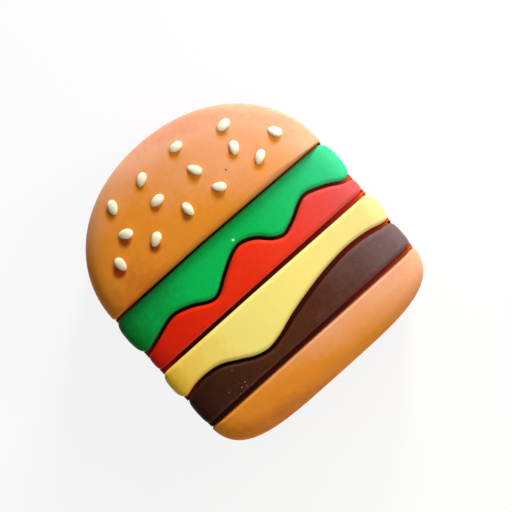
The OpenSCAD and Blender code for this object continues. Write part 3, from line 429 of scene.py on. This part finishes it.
def vinyl(name, tones, reach=reach_across, rough=0.4, specks=0.4, dust=0.62,
          grain_depth=0.00007, translucence=0.4, scatter=(1, 0.4, 0.2), mark=None, cluster=None):
    """Soft satin moulding, with painted sheen towards one end and painted shade towards the other, faint clouding,
    fine grain and dust.

    Tones are (place, colour) pairs along its reach of painted light and shade.
    A mark is one stray spot: its place on the face in millimetres, its size and its colour.
    A cluster is a patch of more dust: its place and its radius."""
    t = Tree(name)
    cloud = t.spread(t.noise(40, 4), 0.3, 0.7, -0.06, 0.06)
    grain = t.spread(t.noise(420, 2), 0.3, 0.7, -0.03, 0.03)
    # Tone along the reach: painted shade at one end, painted sheen at the other
    tone_and_painted_light = t.ramp(t.math("ADD", t.math("ADD", reach(t), cloud), grain), tones)
    spot = t.add("ShaderNodeTexVoronoi", {"Vector": t.at, "Scale": 700.0,
                                          "Randomness": 1.0}).outputs["Distance"]
    rare = t.spread(t.noise(150, 2), dust, dust + 0.08)
    if cluster:
        x, y, radius = cluster
        rare = t.math("MAXIMUM", rare, near(t, x, y, radius, 0.7 * radius))
    speck = t.math("MULTIPLY", t.spread(spot, 0.17, 0.08), rare)
    colour = t.mix(t.spread(speck, 0, 1, 0, specks), tone_and_painted_light, srgb(250, 240, 226))
    if mark:
        x, y, size, tone = mark
        colour = t.mix(near(t, x, y, 0.55 * size, 0.4 * size), colour, srgb(*tone))
    return t.done([(t.noise(46, 3), 0.0006, 0.35), (t.noise(1300, 2), grain_depth, 0.5)],
                  Base_Color=colour, Roughness=t.uneven(90, rough, 0.05, 0.08),
                  Specular_IOR_Level=0.16, Subsurface_Weight=translucence,
                  Subsurface_Radius=scatter, Subsurface_Scale=0.0012)


def hard(name, dark, light, rough=0.35, metallic=0.0, grain=2200, depth=0.00002, brushed=False):
    """Moulded plastic, rubber or metal: faint variation of colour and gloss, and its grain."""
    t = Tree(name)
    if brushed:
        stretched = t.vector("MULTIPLY", t.at, (0.06, 1, 1))
        height = t.noise(grain, 2, Vector=stretched, Roughness=0.5)
    else:
        height = t.noise(grain, 2)
    return t.done([(height, depth, 0.4)], Base_Color=t.faint(120, dark, light),
                  Roughness=t.uneven(276, rough, 0.06, 0.08), Metallic=metallic)


def carrier_red():
    """The red carrier, with painted shade making it nearly black down in the grooves, and a painted glow at their
    right ends.
    """
    t = Tree("shell_red")
    at = t.xyz()
    # Painted shade on the grooves' floor, less in the lowest groove and nearly black mid-way, turning to a painted
    # glow at the right ends
    lowest_groove = t.spread(at["Y"], -0.038, -0.0405, 0, 0.4)
    along = t.spread(at["X"], -0.056, 0.056, lowest_groove, 1)
    floor = t.ramp(along, [(0, (176, 26, 14)), (0.07, (140, 16, 10)), (0.13, (50, 4, 3)),
                           (0.34, (40, 3, 2)), (0.78, (118, 12, 4)), (0.91, (182, 40, 10)),
                           (1, (216, 92, 34))])
    # Only the carrier's top, the grooves' floor, takes the painted shade and glow
    deep = t.spread(at["Z"], 0.0325, 0.0336)
    colour = t.mix(deep, t.faint(120, (162, 20, 6), (176, 26, 8)), floor)
    return t.done([(t.noise(2200, 2), 0.00002, 0.4)], Base_Color=colour,
                  Roughness=t.uneven(280, 0.42, 0.06, 0.08), Specular_IOR_Level=0.25)


# Tones per vinyl: the first stop is painted shade and the last painted sheen, with the moulding's own colour in
# between; the buns' last stop is painted light at the top bun's outer edge
VINYLS = {
    "bun_tan": dict(
        tones=[(0, (184, 77, 0)), (0.29, (231, 144, 42)), (0.44, (231, 144, 42)),
               (0.85, (238, 173, 132)), (1, (222, 152, 116))],
        reach=reach_bun, specks=0.15, mark=(18.9, 30, 0.8, (96, 44, 10))),
    "lettuce_green": dict(
        tones=[(0, (4, 122, 38)), (0.3, (2, 186, 84)), (0.6, (2, 186, 84)), (1, (56, 202, 142))],
        grain_depth=0.00018, mark=(2.3, 7.3, 1.1, (214, 248, 226))),
    "tomato_red": dict(
        tones=[(0, (210, 25, 3)), (0.34, (233, 43, 3)), (0.6, (238, 56, 24)), (1, (217, 90, 90))],
        specks=0.12),
    "cheese_yellow": dict(
        tones=[(0, (246, 195, 46)), (0.28, (255, 232, 128)), (0.6, (254, 230, 132)),
               (1, (248, 214, 140))],
        specks=0.2),
    "patty_brown": dict(
        tones=[(0, (46, 19, 6)), (0.42, (84, 42, 19)), (0.58, (84, 42, 19)), (1, (118, 94, 92))],
        specks=0.6, dust=0.66, grain_depth=0.0003, cluster=(-35, -39.8, 6)),
    "seed_cream": dict(
        tones=[(0, (255, 230, 190)), (0.34, (255, 240, 210)), (0.6, (255, 240, 210)),
               (1, (255, 243, 222))],
        rough=0.5, specks=0.1, translucence=0.7, scatter=(1, 0.8, 0.6)),
}
PLASTICS_AND_METALS = {
    "panel_dark": dict(dark=(50, 34, 30), light=(62, 43, 37), rough=0.6, grain=900,
                       depth=0.00005),
    "mat_rubber": dict(dark=(104, 104, 106), light=(124, 124, 126), rough=0.7),
    "board_green": dict(dark=(12, 92, 52), light=(24, 116, 70), rough=0.4),
    "component_black": dict(dark=(26, 26, 28), light=(40, 40, 42), rough=0.5),
    "screw_steel": dict(dark=(176, 178, 182), light=(206, 208, 210), rough=0.28, metallic=1.0,
                        brushed=True),
    "ballast_iron": dict(dark=(92, 90, 90), light=(122, 118, 114), rough=0.55, metallic=1.0),
    "black_plastic": dict(dark=(26, 26, 28), light=(40, 40, 43), rough=0.42),
    "capsule_metal": dict(dark=(188, 188, 190), light=(212, 212, 214), rough=0.32, metallic=1.0),
    "boot_rubber": dict(dark=(30, 30, 30), light=(46, 46, 46), rough=0.75, grain=1300),
    "contact_gold": dict(dark=(214, 168, 84), light=(236, 196, 112), rough=0.25, metallic=1.0),
    "spring_steel": dict(dark=(178, 178, 182), light=(208, 208, 212), rough=0.3, metallic=1.0),
    "pin_steel": dict(dark=(180, 182, 186), light=(212, 214, 218), rough=0.2, metallic=1.0,
                      brushed=True),
    "wire_red": dict(dark=(160, 16, 16), light=(186, 28, 24), rough=0.5),
    "key_cream": dict(dark=(238, 226, 196), light=(246, 236, 212), rough=0.38),
    "knob_cream": dict(dark=(236, 224, 192), light=(244, 234, 210), rough=0.42),
    "inner_cream": dict(dark=(234, 218, 178), light=(240, 226, 190), rough=0.55, grain=1100),
    "ink_brown": dict(dark=(56, 32, 24), light=(76, 46, 34), rough=0.5),
}
MATERIALS = {
    **{name: vinyl(name, **look) for name, look in VINYLS.items()},
    "shell_red": carrier_red(),
    **{name: hard(name, **look) for name, look in PLASTICS_AND_METALS.items()},
}


def dress(obj, slot):
    obj.data.materials.clear()
    obj.data.materials.append(MATERIALS[slot])


def piece(obj, body, slot, *nodes):
    """A finished piece: its material, its body and the CAD nodes that it stands for."""
    dress(obj, slot)
    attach(obj, body)
    if nodes:
        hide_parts(*nodes)
    return obj


# ---- The layers ----

cutter = carrier_cutter()
half_gap = GROOVE / 2
wave_1_up, wave_1_down = (wave(WAVE_1, WAVE_1_Y, WAVE_1_SWING, shift)
                          for shift in (half_gap, -half_gap))
wave_2_up, wave_2_down = (wave(WAVE_2, WAVE_2_Y, WAVE_2_SWING, shift)
                          for shift in (half_gap, -half_gap))
# The groove over the patty widens towards its right end
wave_2_down[:, 1] -= np.interp(wave_2_down[:, 0], (-20, 5, 44, 54), (0, 0.7, 0.7, 0.1))
# Upper and lower edge, half width, reach of the rounded ends, material
LAYERS = {
    "lettuce": (edge(LETTUCE_TOP, 0.9), wave_1_up, HALF_W + 1.2, 4, "lettuce_green"),
    "tomato": (wave_1_down, edge(TOMATO_LOW), HALF_W - 0.2, 1.4, "tomato_red"),
    "cheese": (edge(CHEESE_TOP, 0.35), wave_2_up, HALF_W + 1, 3.2, "cheese_yellow"),
    "patty": (wave_2_down, edge(PATTY_LOW), HALF_W, 1.6, "patty_brown"),
}
# The side walls from their lower edge up: inset and height
SKIRT_ROWS = [(0.3, SKIRT_Z), (0, SKIRT_Z + 0.3), (0, PLATE_Z)]
for node, (upper, lower, half, end, slot) in LAYERS.items():
    outline = soften(resample(layer_outline(upper, lower, half, end)), 3)
    rows = SKIRT_ROWS + edge_rows(RELIEF_Z)
    layer = round_ends(loft("layer_" + node, inset_rings(outline, rows)), half)
    piece(shade(cut(layer, cutter)), "lid", slot, node)

DOME_SHAPE, HEEL_SHAPE = (DOME_POWER, DOME_LEAN, DOME_Y), (HEEL_POWER, 0, HEEL_Y)
rings = [bun_ring(HALF_W - inset, DOME_H - inset, DOME_SHAPE, BUN_EDGE, 1, z)
         for inset, z in SKIRT_ROWS]
rings += [bun_ring(share * HALF_W, share * DOME_H, DOME_SHAPE, BUN_EDGE + step, 1, z)
          for share, step, z in spline(BUN_ROWS, 4)]
piece(shade(sink_edge(cut(loft("layer_top_bun", rings), cutter))), "lid", "bun_tan", "top_bun")

heel_rows = [(inset, 0, z) for inset, z in SKIRT_ROWS] + list(spline(HEEL_ROWS, 4))
rings = [bun_ring(HALF_W - inset, HEEL_H - inset, HEEL_SHAPE, HEEL_BUN_TOP - step, -1, z)
         for inset, step, z in heel_rows]
piece(shade(cut(loft("layer_bottom_bun", rings), cutter)), "lid", "bun_tan", "bottom_bun")
bpy.data.objects.remove(cutter)


# ---- Seeds ----

def bun_surface(x, y):
    up = y - DOME_Y
    share = (abs((x - DOME_LEAN * up) / HALF_W) ** DOME_POWER
             + abs(up / DOME_H) ** DOME_POWER) ** (1 / DOME_POWER)
    return min(np.interp(-share, -BUN_ROWS[:, 0], BUN_ROWS[:, 2]),
               np.interp(y - BUN_EDGE, BUN_ROWS[:, 1], BUN_ROWS[:, 2]))


def seed_mesh(length=6, width=3.9, height=2.7, around=24, along=14):
    """A flattish teardrop along X, blunt at +X."""
    verts = [(-length / 2, 0, 0)]
    section = arc(1, 1, 2.7, 0, 360, around)[:-1]
    for i in range(1, along):
        u = -math.cos(math.pi * i / along)
        r = (1 - abs(u) ** 2.2) ** 0.55 * (0.92 + 0.15 * u) / 0.96
        verts += [(u * length / 2, r * width / 2 * c, r * height / 2 * s) for c, s in section]
    verts.append((length / 2, 0, 0))
    faces = [(0, 1 + (k + 1) % around, 1 + k) for k in range(around)]
    for i in range(along - 2):
        a = 1 + i * around
        faces += [(a + k, a + (k + 1) % around, a + around + (k + 1) % around, a + around + k)
                  for k in range(around)]
    last, a = len(verts) - 1, 1 + (along - 2) * around
    faces += [(last, a + k, a + (k + 1) % around) for k in range(around)]
    return np.array(verts), faces


verts, faces = seed_mesh()
all_verts, all_faces = [], []
rng = np.random.default_rng(5)
step = 2
for u, v, angle in SEEDS:
    x, y = u * HALF_W, BUN_EDGE + v * DOME_H
    slope = [(bun_surface(x + i, y + j) - bun_surface(x - i, y - j)) / (2 * step)
             for i, j in ((step, 0), (0, step))]
    up = Vector((-slope[0], -slope[1], 1)).normalized()
    turn = up.to_track_quat("Z", "Y").to_matrix()
    along = turn.inverted() @ Vector((math.cos(math.radians(angle)),
                                      math.sin(math.radians(angle)), 0))
    spin = Matrix.Rotation(math.atan2(along.y, along.x), 3, "Z")
    size = rng.uniform(0.95, 1.05, 3)
    offset = sum(len(placed) for placed in all_verts)
    placed = (np.array(turn @ spin) @ (verts * size).T).T + [x, y, bun_surface(x, y) + SEED_LIFT]
    all_verts.append(placed * MM)
    all_faces += [[offset + i for i in f] for f in faces]
seeds = mesh_object("seeds", np.vstack(all_verts), all_faces)
piece(shade(seeds, angle=60), "lid", "seed_cream", "sesame_seeds")


# ---- CAD nodes that stay ----

SLOTS = {s["node"]: s["material_slot"] for s in frame["record"]["subparts"]}
# Widths in millimetres
KEY_BEVEL = 0.7
BEVELS = {"base_shell": 0.5, "lid_shell": 0.3, "keypad_panel": 0.3, "lid_inner_panel": 0.4,
          "hook_plunger": 0.4, "ringer_knob": 0.4, "tone_knob": 0.4, "rubber_feet": 0.4,
          "line_jack": 0.25, "slide_switches": 0.2, "receiver": 0.4, "ringer": 0.4,
          "hinge_pins": 0.3, "circuit_board": 0.15, "board_components": 0.2,
          "ballast_plate": 0.3, "microphone_boot": 0.2, "base_screws": 0.2, "lid_screws": 0.2}
for name, obj in NODES.items():
    dress(obj, SLOTS[name])
    if obj.hide_render:
        continue
    width = KEY_BEVEL if name.startswith("key_") else BEVELS.get(name)
    weld = obj.modifiers.new("weld", "WELD")
    weld.merge_threshold = 0.01 * MM
    if width:
        flatten = obj.modifiers.new("flatten", "DECIMATE")
        flatten.decimate_type = "DISSOLVE"
        flatten.angle_limit = math.radians(0.5)
        bevel = obj.modifiers.new("bevel", "BEVEL")
        bevel.width = width * MM
        bevel.segments = 3
        bevel.limit_method = "ANGLE"
        bevel.angle_limit = math.radians(40)
        bevel.use_clamp_overlap = True
    for face in obj.data.polygons:
        face.use_smooth = True
    smooth = obj.modifiers.new("normals", "WEIGHTED_NORMAL")
    smooth.keep_sharp = True
    obj.data.set_sharp_from_angle(angle=math.radians(35))


# ---- Keypad mat ----

mat_low, mat_high = (np.array(corner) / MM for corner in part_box("keypad_mat"))
SHEET_T, SHEET_EDGE, SHEET_POWER = 1.0, 0.2, 24
half_x, half_y = (mat_high - mat_low)[:2] / 2
outline = arc(half_x, half_y, SHEET_POWER, 0, 360, 160)[:-1]
sheet = loft("mat_sheet", [ring_at(outline - inset * np.sign(outline), mat_low[2] + z)
                           for inset, z in ((0, 0), (0, SHEET_T - SHEET_EDGE),
                                            (SHEET_EDGE, SHEET_T))])
piece(shade(sheet), "base", "mat_rubber", "keypad_mat")

# Radius and share of the height, from the sheet up
DOME_ROWS = [(4.2, -0.02), (4.1, 0.05), (3.5, 0.5), (3.15, 0.8), (3, 0.95), (2.7, 1)]
foot = mat_low[2] + SHEET_T
height = mat_high[2] - foot
circle = arc(1, 1, 2, 0, 360, 40)[:-1]
for joint in frame["joints"]:
    if not joint["name"].startswith("press_"):
        continue
    key = joint["name"].removeprefix("press_")
    low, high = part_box("key_" + key)
    x, y = (low.x + high.x) / 2 / MM, (low.y + high.y) / 2 / MM
    dome = loft("mat_dome_" + key, [ring_at(r * circle + [x, y], foot + share * height)
                                    for r, share in DOME_ROWS])
    piece(shade(dome), "base", "mat_rubber")
    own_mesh(dome)


# ---- Rings round the earpiece and the microphone ----

def ring(name, y, inner, outer, face, proud):
    """A rounded ring that stands proud of a face, up or down."""
    across = np.linspace(0, math.pi, 9)
    middle, half = (inner + outer) / 2, (outer - inner) / 2
    section = [(middle + half * math.cos(a), face + proud * math.sin(a)) for a in across]
    section += [(inner, face - 0.3 * proud), (outer, face - 0.3 * proud)]
    turn = np.radians(np.arange(0, 360, 3))
    verts = [(r * math.cos(a), y + r * math.sin(a), z) for a in turn for r, z in section]
    n, count = len(section), len(turn)
    faces = [[i * n + k, i * n + (k + 1) % n, (i + 1) % count * n + (k + 1) % n,
              (i + 1) % count * n + k] for i in range(count) for k in range(n)]
    obj = mesh_object(name, np.array(verts) * MM, faces)
    mesh = bmesh.new()
    mesh.from_mesh(obj.data)
    bmesh.ops.recalc_face_normals(mesh, faces=mesh.faces)
    mesh.to_mesh(obj.data)
    mesh.free()
    return shade(obj)


RECEIVER_Y, MICROPHONE_Y = 34, 45
lid_face, keypad_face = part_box("lid_inner_panel")[0].z / MM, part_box("keypad_panel")[1].z / MM
piece(ring("earpiece_ring", RECEIVER_Y, 10.4, 12.6, lid_face, -0.5), "lid", "inner_cream")
piece(ring("microphone_ring", MICROPHONE_Y, 4, 5.4, keypad_face, 0.45), "base", "panel_dark")


# ---- Cross recesses of the screws ----

RECESS_DEPTH = 0.8


def cross_recess(x, y, length, width, face):
    """Cutter of a cross in a screw head whose face points down."""
    a, b = length / 2, width / 2
    plus = [(a, -b), (a, b), (b, b), (b, a), (-b, a), (-b, b), (-a, b), (-a, -b), (-b, -b),
            (-b, -a), (b, -a), (b, -b)]
    cross = np.array(plus) + [x, y]
    return loft("recess", [ring_at(cross, z) for z in (face - 1, face + RECESS_DEPTH)])


# Body, length and width of the cross, and places on the right hand side
SCREWS = {"lid_screws": ("lid", 2.4, 0.5, [(44, -46.1), (33.98, 40)]),
          "base_screws": ("base", 3, 0.7, [(44, -40.1), (37.81, 33.96)])}
for node, (body, length, width, places) in SCREWS.items():
    screws = NODES[node].copy()
    screws.name = "crossed_" + node
    screws.parent = None
    screws.matrix_world = Matrix.Identity(4)
    bpy.context.scene.collection.objects.link(screws)
    freeze(screws)
    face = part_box(node)[0].z / MM
    for x, y in [(side * x, y) for x, y in places for side in (-1, 1)]:
        recess = cross_recess(x, y, length, width, face)
        cut(screws, recess)
        bpy.data.objects.remove(recess)
    piece(shade(screws, angle=35), body, "screw_steel", node)


# ---- Digits on the keys ----

GLYPHS = {**{str(d): str(d) for d in range(10)}, "star": "*", "hash": "#",
          "redial": "o", "flash": "-"}
GLYPH_SIZE, STAR_SIZE = 6.6, 10
# Half the thickness of the print, and the height of its middle over the key
PRINT_T, PRINT_LIFT = 0.05, 0.03
for key, glyph in GLYPHS.items():
    low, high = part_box("key_" + key)
    curve = bpy.data.curves.new("digit_" + key, "FONT")
    curve.body = glyph
    curve.size = (STAR_SIZE if glyph == "*" else GLYPH_SIZE) * MM
    curve.align_x = "CENTER"
    curve.extrude = PRINT_T * MM
    text = bpy.data.objects.new("text", curve)
    bpy.context.scene.collection.objects.link(text)
    mesh = evaluated_mesh(text)
    bpy.data.objects.remove(text)
    co = np.array([v.co for v in mesh.vertices])
    middle = (co.min(0) + co.max(0)) / 2
    mesh.transform(Matrix.Translation((-middle[0], -middle[1], -middle[2])))
    mesh.transform(Matrix.Rotation(math.pi, 4, "Z"))
    mesh.transform(Matrix.Translation(((low.x + high.x) / 2, (low.y + high.y) / 2,
                                       high.z + PRINT_LIFT * MM)))
    digit = bpy.data.objects.new("digit_" + key, mesh)
    bpy.context.scene.collection.objects.link(digit)
    piece(digit, "button_" + key, "ink_brown")


# ---- Stage, light and camera ----

def area_light(name, place, target, size, power, colour):
    light = bpy.data.lights.new(name, "AREA")
    light.shape = "DISK"
    light.size = size
    light.energy = power
    light.color = colour
    obj = bpy.data.objects.new(name, light)
    obj.location = place
    obj.rotation_euler = (Vector(target) - Vector(place)).to_track_quat("-Z", "Y").to_euler()
    bpy.context.scene.collection.objects.link(obj)
    return obj


def white_floor(glow_share=0.86):
    """A pale floor that shows as white, and keeps a part of the shadow."""
    t = Tree("floor_white")
    tone = t.mix(t.spread(t.noise(3, 2), 0.3, 0.7), srgb(244, 244, 243), srgb(248, 248, 247))
    t.feed(t.shader, {"Base Color": tone, "Roughness": 0.9})
    path = t.add("ShaderNodeLightPath").outputs
    seen = t.math("MAXIMUM", path["Is Camera Ray"], path["Is Glossy Ray"])
    seen = t.math("MAXIMUM", seen, path["Is Transmission Ray"])
    glow = t.add("ShaderNodeEmission", {"Color": (1, 1, 1, 1), "Strength": 1.0})
    mixed = t.add("ShaderNodeMixShader", {0: t.math("MULTIPLY", seen, glow_share),
                                          1: t.shader.outputs[0], 2: glow.outputs[0]})
    t.links.new(mixed.outputs[0], t.nodes["Material Output"].inputs["Surface"])
    return t.material


# A hair under the feet, so that the two faces never fight
FLOOR_Z = -0.1 * MM
FLOOR_HALF = 3
CORNERS = ((-1, -1), (1, -1), (1, 1), (-1, 1))
floor = mesh_object("floor", [(x * FLOOR_HALF, y * FLOOR_HALF, FLOOR_Z) for x, y in CORNERS],
                    [(0, 1, 2, 3)])
floor.data.materials.append(white_floor())

# The key lamp's gloss comes from a larger, weaker lamp in its place, so that it never glares
KEY_PLACE, KEY_COLOUR = (0.555, 0.462, 0.30), (0.92, 0.95, 1.0)
area_light("key", KEY_PLACE, (0, 0, 0.03), 0.18, 7.4, KEY_COLOUR).visible_glossy = False
area_light("key_gloss", KEY_PLACE, (0, 0, 0.03), 0.4, 1.8, KEY_COLOUR).visible_diffuse = False
area_light("side", (0.15, 0.0, 0.17), (0.02, 0, 0.03), 0.1, 0.2, (1.0, 0.96, 0.88))
area_light("fill", (-0.03, -0.22, 0.13), (0, -0.04, 0.03), 0.14, 0.13, (1.0, 0.94, 0.82))

world = bpy.data.worlds.new("studio")
bpy.context.scene.world = world
world.use_nodes = True
nodes, links = world.node_tree.nodes, world.node_tree.links
nodes.clear()
path = nodes.new("ShaderNodeLightPath")
mixer = nodes.new("ShaderNodeMixShader")
seen, ambient = nodes.new("ShaderNodeBackground"), nodes.new("ShaderNodeBackground")
for node, strength in ((seen, 1), (ambient, 0.2)):
    node.inputs["Color"].default_value = (1, 1, 1, 1)
    node.inputs["Strength"].default_value = strength
links.new(path.outputs["Is Camera Ray"], mixer.inputs[0])
links.new(ambient.outputs[0], mixer.inputs[1])
links.new(seen.outputs[0], mixer.inputs[2])
links.new(mixer.outputs[0], nodes.new("ShaderNodeOutputWorld").inputs["Surface"])

# The photograph's turn, one pixel's size on the relief's face, and the width in pixels
TILT = math.radians(41.9)
PIXEL = 0.4 * MM
FRAME = 512
# The camera's sensor in millimetres, and its height over the relief's face in metres
SENSOR = 36
DISTANCE = 1.4
# Point of the relief's face under the middle of the picture
CENTRE = Vector((4.84 * MM, -3.60 * MM, RELIEF_Z * MM))
camera = bpy.data.objects.new("camera", bpy.data.cameras.new("camera"))
bpy.context.scene.collection.objects.link(camera)
camera.location = CENTRE + Vector((0, 0, DISTANCE))
camera.rotation_euler = Euler((0, 0, -TILT))
camera.data.sensor_width = SENSOR
camera.data.lens = SENSOR * DISTANCE / (FRAME * PIXEL)
bpy.context.scene.camera = camera
bpy.context.scene.view_settings.view_transform = "Standard"
